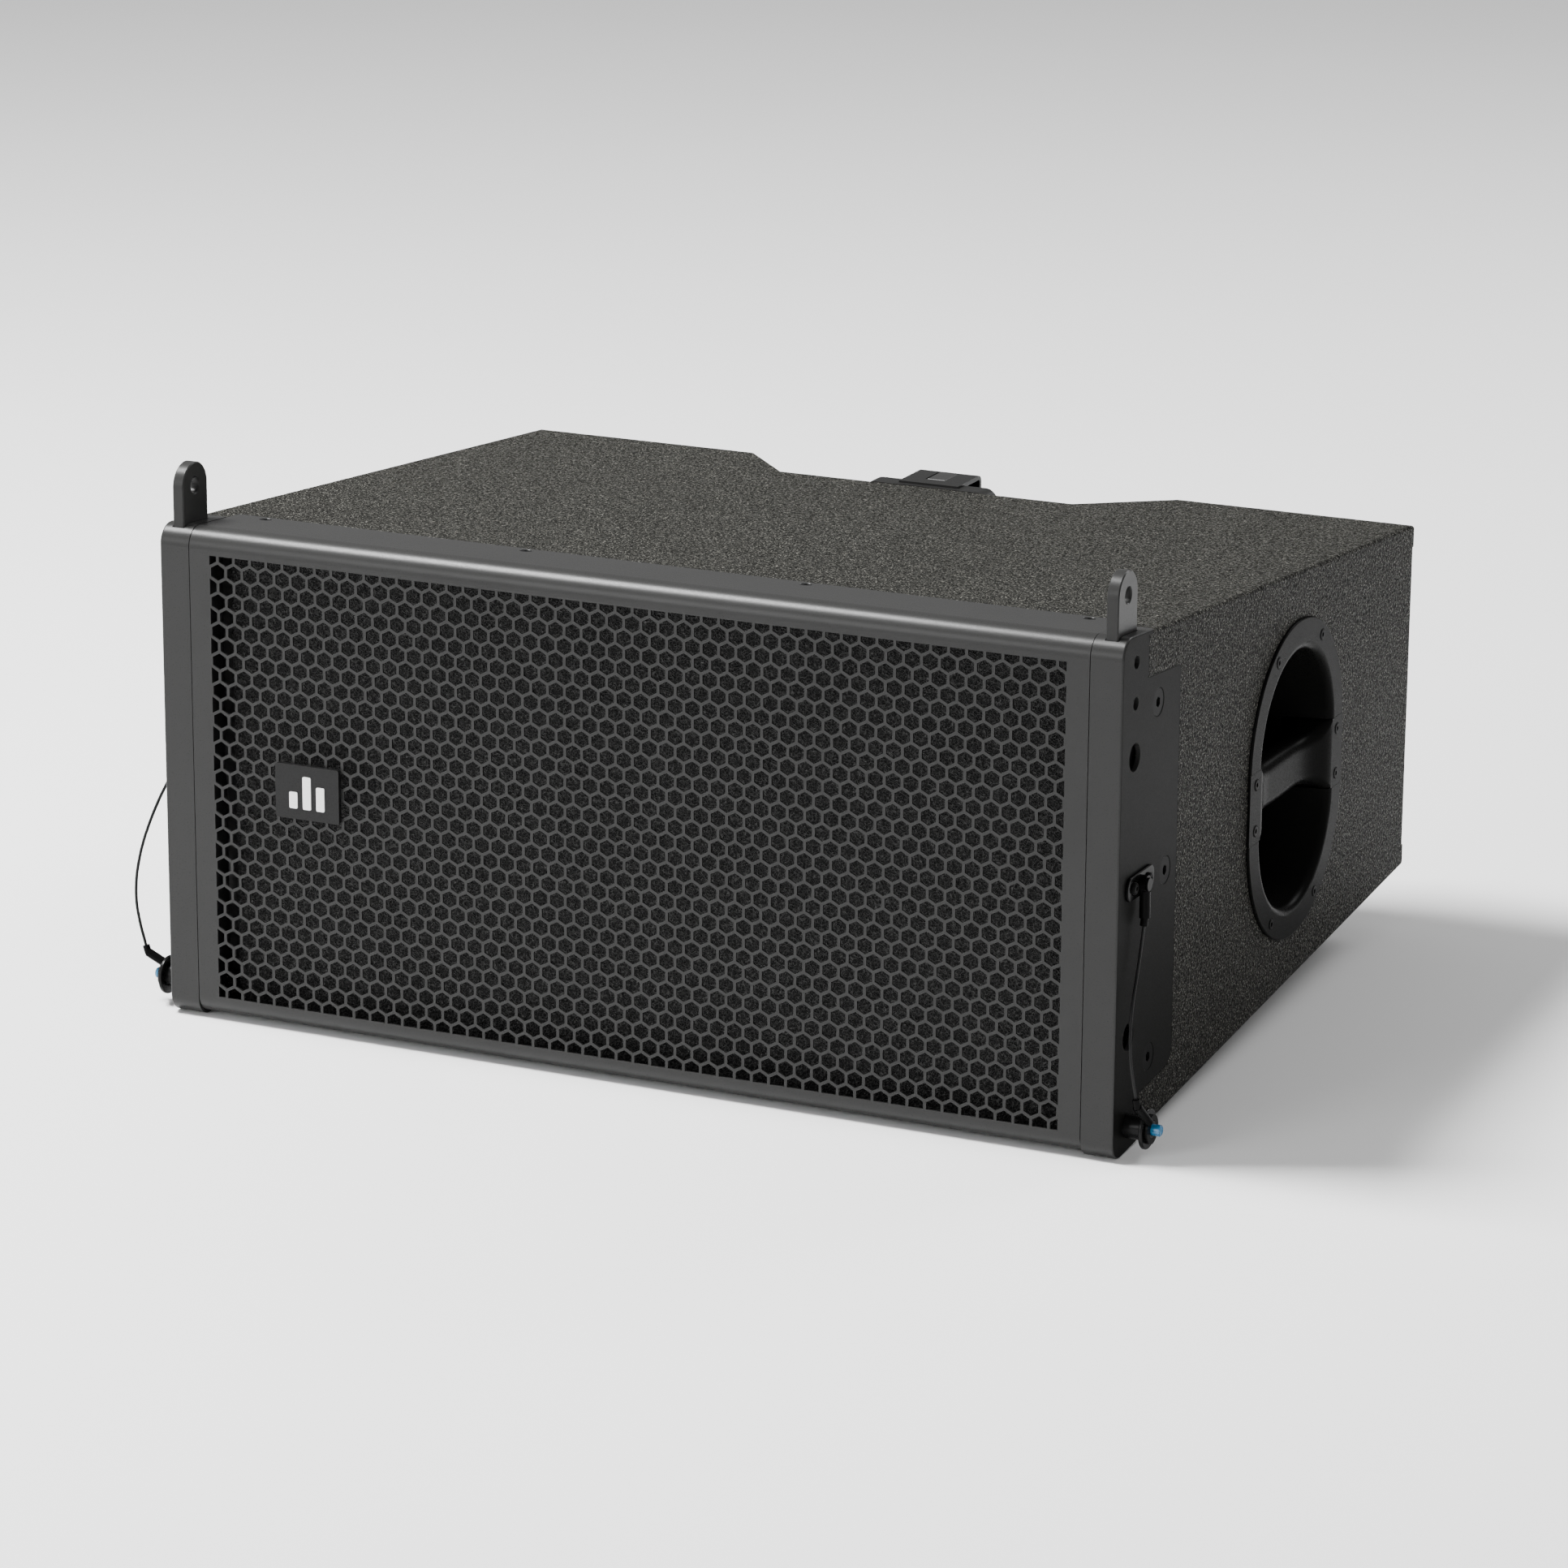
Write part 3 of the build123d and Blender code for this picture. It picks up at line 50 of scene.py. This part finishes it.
# ---------------------------------------------------------------- camera
def photo_camera():
    """Long lens to the right of the grille and a little above it."""
    azimuth, elevation, roll = radians(24.954), radians(16.166), radians(0.3575)
    back = Vector((sin(azimuth) * cos(elevation), -cos(azimuth) * cos(elevation), sin(elevation)))
    right = Vector((cos(azimuth), sin(azimuth), 0))
    up = back.cross(right)
    camera_x = cos(roll) * right + sin(roll) * up
    camera_y = -sin(roll) * right + cos(roll) * up
    data = bpy.data.cameras.new("camera")
    data.lens = 132.52
    data.sensor_width = 36.0
    data.clip_start, data.clip_end = 0.1, 40.0
    camera = bpy.data.objects.new("camera", data)
    turned = Matrix((camera_x, camera_y, back)).transposed().to_4x4()
    camera.matrix_world = Matrix.Translation((1.57038, -3.40135, 1.21837)) @ turned
    bpy.context.collection.objects.link(camera)
    bpy.context.scene.camera = camera


photo_camera()


# ---------------------------------------------------------------- materials
def shader(name, base, roughness, metallic=0.0, **sockets):
    """A new material with its Principled shader, and short ways to add nodes."""
    material = bpy.data.materials.new(name)
    material.use_nodes = True
    tree = material.node_tree
    principled = tree.nodes["Principled BSDF"]
    principled.inputs["Base Color"].default_value = (*base, 1)
    principled.inputs["Roughness"].default_value = roughness
    principled.inputs["Metallic"].default_value = metallic
    for socket, value in sockets.items():
        principled.inputs[socket.replace("_", " ")].default_value = value
    place = tree.nodes.new("ShaderNodeTexCoord")
    return material, tree, principled, place.outputs["Object"]


def noise(tree, place, scale, detail=4.0, roughness=0.6):
    """A noise texture in the object's own space."""
    texture = tree.nodes.new("ShaderNodeTexNoise")
    tree.links.new(place, texture.inputs["Vector"])
    texture.inputs["Scale"].default_value = scale
    texture.inputs["Detail"].default_value = detail
    texture.inputs["Roughness"].default_value = roughness
    return texture.outputs["Fac"]


def cells(tree, place, scale, feature="F1"):
    """Distance to the nearest point of a cell texture."""
    texture = tree.nodes.new("ShaderNodeTexVoronoi")
    texture.feature = feature
    tree.links.new(place, texture.inputs["Vector"])
    texture.inputs["Scale"].default_value = scale
    return texture.outputs["Distance"]


def spread(tree, value, low, high, to_low, to_high):
    """Map a value from one range to another."""
    node = tree.nodes.new("ShaderNodeMapRange")
    tree.links.new(value, node.inputs["Value"])
    for socket, number in zip(("From Min", "From Max", "To Min", "To Max"), (low, high, to_low, to_high)):
        node.inputs[socket].default_value = number
    return node.outputs["Result"]


def tint(tree, factor, dark, light):
    """Blend between two colours."""
    node = tree.nodes.new("ShaderNodeMix")
    node.data_type = "RGBA"
    tree.links.new(factor, node.inputs["Factor"])
    node.inputs["A"].default_value = (*dark, 1)
    node.inputs["B"].default_value = (*light, 1)
    return node.outputs["Result"]


def product(tree, first, second):
    """Multiply two values."""
    node = tree.nodes.new("ShaderNodeMath")
    node.operation = "MULTIPLY"
    tree.links.new(first, node.inputs[0])
    tree.links.new(second, node.inputs[1])
    return node.outputs[0]


def relief(tree, principled, height, strength, distance, onto=None):
    """Bump the surface by a height value, on top of an earlier bump if there is one."""
    bump = tree.nodes.new("ShaderNodeBump")
    tree.links.new(height, bump.inputs["Height"])
    bump.inputs["Strength"].default_value = strength
    bump.inputs["Distance"].default_value = distance
    if onto is not None:
        tree.links.new(onto, bump.inputs["Normal"])
    tree.links.new(bump.outputs["Normal"], principled.inputs["Normal"])
    return bump.outputs["Normal"]


def cabinet_paint():
    """Sprayed textured paint: coarse hard grain, and small bright crests painted into the colour as glints."""
    material, tree, principled, place = shader("cabinet_paint", (0.03, 0.03, 0.027), 0.5,
                                               Specular_IOR_Level=0.02)
    grain = noise(tree, place, 430.0, 2.0, 0.55)
    drift = noise(tree, place, 120.0, 2.0, 0.5)
    fine_relief_and_glints = noise(tree, place, 860.0, 1.5, 0.55)
    # Painted glints: the tips of the finest grain get a light colour that stands in for the specular glints on
    # the paint.
    painted_glint_mask = spread(tree, fine_relief_and_glints, 0.60, 0.70, 0.0, 1.0)
    body = tint(tree, spread(tree, grain, 0.35, 0.65, 0.0, 1.0), (0.0065, 0.0065, 0.0058), (0.027, 0.0266, 0.024))
    mixer = tree.nodes.new("ShaderNodeMix")
    mixer.data_type = "RGBA"
    tree.links.new(painted_glint_mask, mixer.inputs["Factor"])
    tree.links.new(body, mixer.inputs["A"])
    # Colour of the painted glints.
    mixer.inputs["B"].default_value = (0.22, 0.216, 0.192, 1)
    tree.links.new(mixer.outputs["Result"], principled.inputs["Base Color"])
    tree.links.new(spread(tree, grain, 0.35, 0.65, 0.6, 0.34), principled.inputs["Roughness"])
    under = relief(tree, principled, drift, 0.3, 0.0012)
    under = relief(tree, principled, grain, 0.9, 0.0022, under)
    relief(tree, principled, fine_relief_and_glints, 0.6, 0.0010, under)
    return material


def powder_coat(name, base, roughness, grain=1500.0, strength=0.12, specular=0.12):
    """Fine powder coat over steel, with a faint orange peel and slightly uneven sheen."""
    material, tree, principled, place = shader(name, base, roughness, Specular_IOR_Level=specular)
    peel = noise(tree, place, grain, 2.0, 0.5)
    cloud = noise(tree, place, 18.0, 3.0, 0.5)
    dark = tuple(c * 0.9 for c in base)
    light = tuple(c * 1.12 for c in base)
    tree.links.new(tint(tree, cloud, dark, light), principled.inputs["Base Color"])
    tree.links.new(spread(tree, peel, 0.3, 0.7, roughness - 0.06, roughness + 0.06),
                   principled.inputs["Roughness"])
    relief(tree, principled, peel, strength, 0.0003)
    return material


def machined(name, base, roughness, metallic=1.0):
    """Turned or brushed metal with fine lines."""
    material, tree, principled, place = shader(name, base, roughness, metallic)
    mapping = tree.nodes.new("ShaderNodeMapping")
    tree.links.new(place, mapping.inputs["Vector"])
    mapping.inputs["Scale"].default_value = (1.0, 1.0, 14.0)
    lines = noise(tree, mapping.outputs["Vector"], 260.0, 3.0, 0.6)
    dark = tuple(c * 0.8 for c in base)
    light = tuple(min(1.0, c * 1.15) for c in base)
    tree.links.new(tint(tree, lines, dark, light), principled.inputs["Base Color"])
    tree.links.new(spread(tree, lines, 0.3, 0.7, roughness - 0.08, roughness + 0.1),
                   principled.inputs["Roughness"])
    relief(tree, principled, lines, 0.08, 0.0002)
    return material


def moulded(name, base, roughness, grain=900.0, strength=0.2, specular=0.15):
    """Injection-moulded plastic with an eroded grain."""
    material, tree, principled, place = shader(name, base, roughness, Specular_IOR_Level=specular)
    erosion = noise(tree, place, grain, 4.0, 0.6)
    cloud = noise(tree, place, 25.0, 2.0, 0.5)
    dark = tuple(c * 0.88 for c in base)
    light = tuple(c * 1.15 for c in base)
    tree.links.new(tint(tree, cloud, dark, light), principled.inputs["Base Color"])
    tree.links.new(spread(tree, erosion, 0.3, 0.7, roughness - 0.07, roughness + 0.1),
                   principled.inputs["Roughness"])
    relief(tree, principled, erosion, strength, 0.00025)
    return material


def open_foam():
    """Black reticulated foam with a wrinkled open surface."""
    material, tree, principled, place = shader("open_foam", (0.012, 0.012, 0.012), 0.75,
                                               Specular_IOR_Level=0.3)
    pores = cells(tree, place, 520.0, "DISTANCE_TO_EDGE")
    lumps = noise(tree, place, 430.0, 3.0, 0.65)
    strut = spread(tree, pores, 0.0, 0.25, 1.0, 0.0)
    both = product(tree, strut, spread(tree, lumps, 0.38, 0.6, 0.1, 1.0))
    tree.links.new(tint(tree, both, (0.0015, 0.0015, 0.0015), (0.075, 0.075, 0.073)),
                   principled.inputs["Base Color"])
    under = relief(tree, principled, lumps, 1.0, 0.003)
    relief(tree, principled, strut, 0.9, 0.0014, under)
    return material


def plywood(name, light, dark, roughness):
    """Birch plywood with long grain along X."""
    material, tree, principled, place = shader(name, light, roughness)
    mapping = tree.nodes.new("ShaderNodeMapping")
    tree.links.new(place, mapping.inputs["Vector"])
    mapping.inputs["Scale"].default_value = (1.0, 12.0, 12.0)
    grain = noise(tree, mapping.outputs["Vector"], 22.0, 6.0, 0.65)
    tree.links.new(tint(tree, spread(tree, grain, 0.3, 0.7, 0.0, 1.0), dark, light),
                   principled.inputs["Base Color"])
    relief(tree, principled, grain, 0.2, 0.0004)
    return material


def woven(name, base, scale):
    """Doped cloth or felted paper."""
    material, tree, principled, place = shader(name, base, 0.8)
    fibre = noise(tree, place, scale, 6.0, 0.75)
    dark = tuple(c * 0.6 for c in base)
    light = tuple(c * 1.5 for c in base)
    tree.links.new(tint(tree, spread(tree, fibre, 0.35, 0.65, 0.0, 1.0), dark, light),
                   principled.inputs["Base Color"])
    relief(tree, principled, fibre, 0.4, 0.0003)
    return material


def translucent_button():
    """Tinted translucent plastic."""
    material, tree, principled, place = shader(
        "button_blue", (0.008, 0.13, 0.30), 0.28, Transmission_Weight=0.25, Coat_Weight=0.3)
    swirl = noise(tree, place, 300.0, 3.0, 0.5)
    tree.links.new(tint(tree, swirl, (0.008, 0.12, 0.28), (0.02, 0.24, 0.46)),
                   principled.inputs["Base Color"])
    tree.links.new(spread(tree, swirl, 0.3, 0.7, 0.22, 0.36), principled.inputs["Roughness"])
    return material


looks = {
    "cabinet_paint": cabinet_paint(),
    "bare_ply": plywood("bare_ply", (0.55, 0.40, 0.24), (0.42, 0.29, 0.16), 0.6),
    "black_ply": plywood("black_ply", (0.035, 0.034, 0.033), (0.018, 0.018, 0.017), 0.6),
    "grille_coat": powder_coat("grille_coat", (0.021, 0.021, 0.0206), 0.32, strength=0.05, specular=0.16),
    "rig_coat": powder_coat("rig_coat", (0.020, 0.020, 0.0196), 0.32, strength=0.05, specular=0.16),
    # A darker copy of the rigging coat, used as painted shade on the side plates.
    "plate_painted_shade_coat": powder_coat("plate_painted_shade_coat", (0.0065, 0.0065, 0.0062), 0.4, strength=0.08, specular=0.015),
    "black_screw": powder_coat("black_screw", (0.007, 0.007, 0.007), 0.34, 2400.0, 0.08, 0.015),
    "link_coat": powder_coat("link_coat", (0.022, 0.022, 0.0215), 0.34, strength=0.06),
    "pin_black": powder_coat("pin_black", (0.006, 0.006, 0.006), 0.24, 2600.0, 0.05, 0.1),
    "button_blue": translucent_button(),
    "lanyard_metal": powder_coat("lanyard_metal", (0.003, 0.003, 0.003), 0.16, 2600.0, 0.03, 0.035),
    "cable_sheath": moulded("cable_sheath", (0.007, 0.007, 0.007), 0.38, 1800.0, 0.2),
    "foam_black": open_foam(),
    "badge_face": moulded("badge_face", (0.008, 0.008, 0.008), 0.3, 1500.0, 0.05),
    "badge_bars": machined("badge_bars", (0.86, 0.86, 0.85), 0.45, 0.2),
    "handle_plastic": moulded("handle_plastic", (0.0048, 0.0048, 0.0046), 0.28, 1100.0, 0.1, 0.012),
    "bracket_coat": powder_coat("bracket_coat", (0.012, 0.012, 0.0117), 0.38, strength=0.1),
    "connector_plastic": moulded("connector_plastic", (0.02, 0.02, 0.021), 0.45),
    "basket_coat": powder_coat("basket_coat", (0.03, 0.03, 0.03), 0.5),
    "magnet_steel": machined("magnet_steel", (0.42, 0.42, 0.40), 0.4),
    "cone_paper": woven("cone_paper", (0.03, 0.029, 0.028), 500.0),
    "surround_cloth": woven("surround_cloth", (0.03, 0.027, 0.024), 1400.0),
    "waveguide_plastic": moulded("waveguide_plastic", (0.025, 0.025, 0.025), 0.5),
    "driver_metal": powder_coat("driver_metal", (0.05, 0.05, 0.05), 0.4),
    "board_green": moulded("board_green", (0.015, 0.11, 0.045), 0.3, 600.0, 0.08),
    "coil_copper": machined("coil_copper", (0.62, 0.29, 0.13), 0.35),
}


# ---------------------------------------------------------------- CAD nodes
def smooth(piece, angle=32.0):
    """Smooth shading, kept sharp at real edges."""
    bpy.context.view_layer.objects.active = piece
    for other in bpy.context.selected_objects:
        other.select_set(False)
    piece.select_set(True)
    bpy.ops.object.shade_smooth_by_angle(angle=radians(angle))


def soften(piece, width, segments=2, angle=40.0):
    """Break a piece's hard edges."""
    bevel = piece.modifiers.new("edge", "BEVEL")
    bevel.width = width
    bevel.segments = segments
    bevel.limit_method = "ANGLE"
    bevel.angle_limit = radians(angle)
    bevel.harden_normals = False
    return bevel


slots = {part["node"]: part["material_slot"] for part in frame["record"]["subparts"]}
for name, node in nodes.items():
    node.data.materials.clear()
    node.data.materials.append(looks[slots[name]])


def side_plate_painted_shade(frame_name):
    """Painted shade: the outward side faces of a rigging frame, and all its faces behind 52 mm, get a darker copy
    of its coat, so the outer side plate is darker than its folded post.
    """
    mesh = nodes[frame_name].data
    mesh.materials.append(looks["plate_painted_shade_coat"])
    for face in mesh.polygons:
        middle = face.center
        if abs(middle.x) > 0.3365 and abs(face.normal.x) > 0.9 or middle.y > deep(52):
            face.material_index = 1


# Painted shade on the side plates of both rigging frames.
for side in ("left", "right"):
    side_plate_painted_shade("rigging_frame_" + side)

BROKEN_EDGES = {
    "grille_mesh": 0.00022, "grille_frame": 0.0003, "badge_plate": 0.0004, "badge_emblem": 0.0002,
    "link_bar_left": 0.0003, "link_bar_right": 0.0003, "rear_link_arm": 0.0004,
    "rear_bracket": 0.0005, "connector_plate": 0.0004,
}
for name, width in BROKEN_EDGES.items():
    soften(nodes[name], width, 1 if name == "grille_mesh" else 2)


# ---------------------------------------------------------------- lanyard cables
CABLES = {
    "left": ((-349.4, 27.0, 155.2), (-354.6, 26.0, 146.0), (-363.2, 24.0, 126.6), (-371.0, 22.0, 103.6),
             (-375.0, 20.4, 79.6), (-373.6, 20.0, 56.6), (-367.6, 20.0, 37.4)),
    "right": ((342.4, 30.2, 147.0), (342.0, 28.6, 136.6), (342.0, 22.4, 119.0), (343.0, 12.0, 100.6),
              (344.4, 5.8, 82.0), (346.4, 3.6, 62.4), (349.6, 5.4, 42.6)),
}
CABLE_RADIUS = 0.001


def lanyard_cable(side):
    """The sheathed wire rope between the pad eye and the lock pin."""
    data = bpy.data.curves.new("lanyard_route_" + side, "CURVE")
    data.dimensions = "3D"
    data.bevel_resolution = 5
    data.use_fill_caps = True
    data.resolution_u = 16
    spline = data.splines.new("NURBS")
    spline.points.add(len(CABLES[side]) - 1)
    for point, (x, depth, z) in zip(spline.points, CABLES[side]):
        point.co = (x / 1000, deep(depth), z / 1000, 1)
    spline.order_u = 3
    spline.use_endpoint_u = True
    route = bpy.data.objects.new("lanyard_route_" + side, data)
    line = bpy.data.meshes.new_from_object(route)
    data.bevel_depth = CABLE_RADIUS
    tube = bpy.data.meshes.new_from_object(route)
    bpy.data.meshes.remove(line)
    bpy.data.objects.remove(route)
    weld = bmesh.new()
    weld.from_mesh(tube)
    bmesh.ops.remove_doubles(weld, verts=weld.verts, dist=0.00001)
    for face in weld.faces:
        face.smooth = True
    weld.to_mesh(tube)
    weld.free()
    tube.materials.clear()
    tube.materials.append(looks["cable_sheath"])
    cable = bpy.data.objects.new("lanyard_" + side, tube)
    bpy.context.collection.objects.link(cable)
    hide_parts("lanyard_cable_" + side)
    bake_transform(cable)
    x, depth, z = CABLES[side][0]


for side in ("left", "right"):
    lanyard_cable(side)


# ---------------------------------------------------------------- floor and light
def floor():
    """Wide flat pale floor."""
    bpy.ops.mesh.primitive_plane_add(size=30, location=(0, 0, 0))
    plane = bpy.context.object
    plane.name = "floor"
    material, tree, principled, place = shader("floor", (0.93, 0.93, 0.93), 0.7)
    shade = noise(tree, place, 3.0, 2.0, 0.5)
    tree.links.new(tint(tree, shade, (0.92, 0.92, 0.92), (0.94, 0.94, 0.94)),
                   principled.inputs["Base Color"])
    plane.data.materials.append(material)


def lamp(name, place, target, size, power):
    """A square soft box."""
    data = bpy.data.lights.new(name, "AREA")
    data.size = size
    data.energy = power
    light = bpy.data.objects.new(name, data)
    light.location = place
    light.rotation_euler = (Vector(target) - Vector(place)).to_track_quat("-Z", "Y").to_euler()
    bpy.context.collection.objects.link(light)


floor()
lamp("key", (-1.6, -0.6, 3.3), (0, 0, 0.15), 1.1, 430)
lamp("front", (-1.8, -4.2, 1.6), (0, 0, 0.15), 1.6, 70)
lamp("rear", (1.6, 3.0, 2.4), (0, 0, 0.25), 1.4, 60)



def studio():
    """White room, brighter in front of the object than behind it."""
    world = bpy.data.worlds.new("studio")
    bpy.context.scene.world = world
    world.use_nodes = True
    tree = world.node_tree
    background = tree.nodes["Background"]
    background.inputs["Color"].default_value = (1, 1, 1, 1)
    place = tree.nodes.new("ShaderNodeTexCoord")
    parts = tree.nodes.new("ShaderNodeSeparateXYZ")
    tree.links.new(place.outputs["Generated"], parts.inputs["Vector"])
    tree.links.new(spread(tree, parts.outputs["Y"], -0.6, 0.8, 0.55, 0.25), background.inputs["Strength"])


studio()
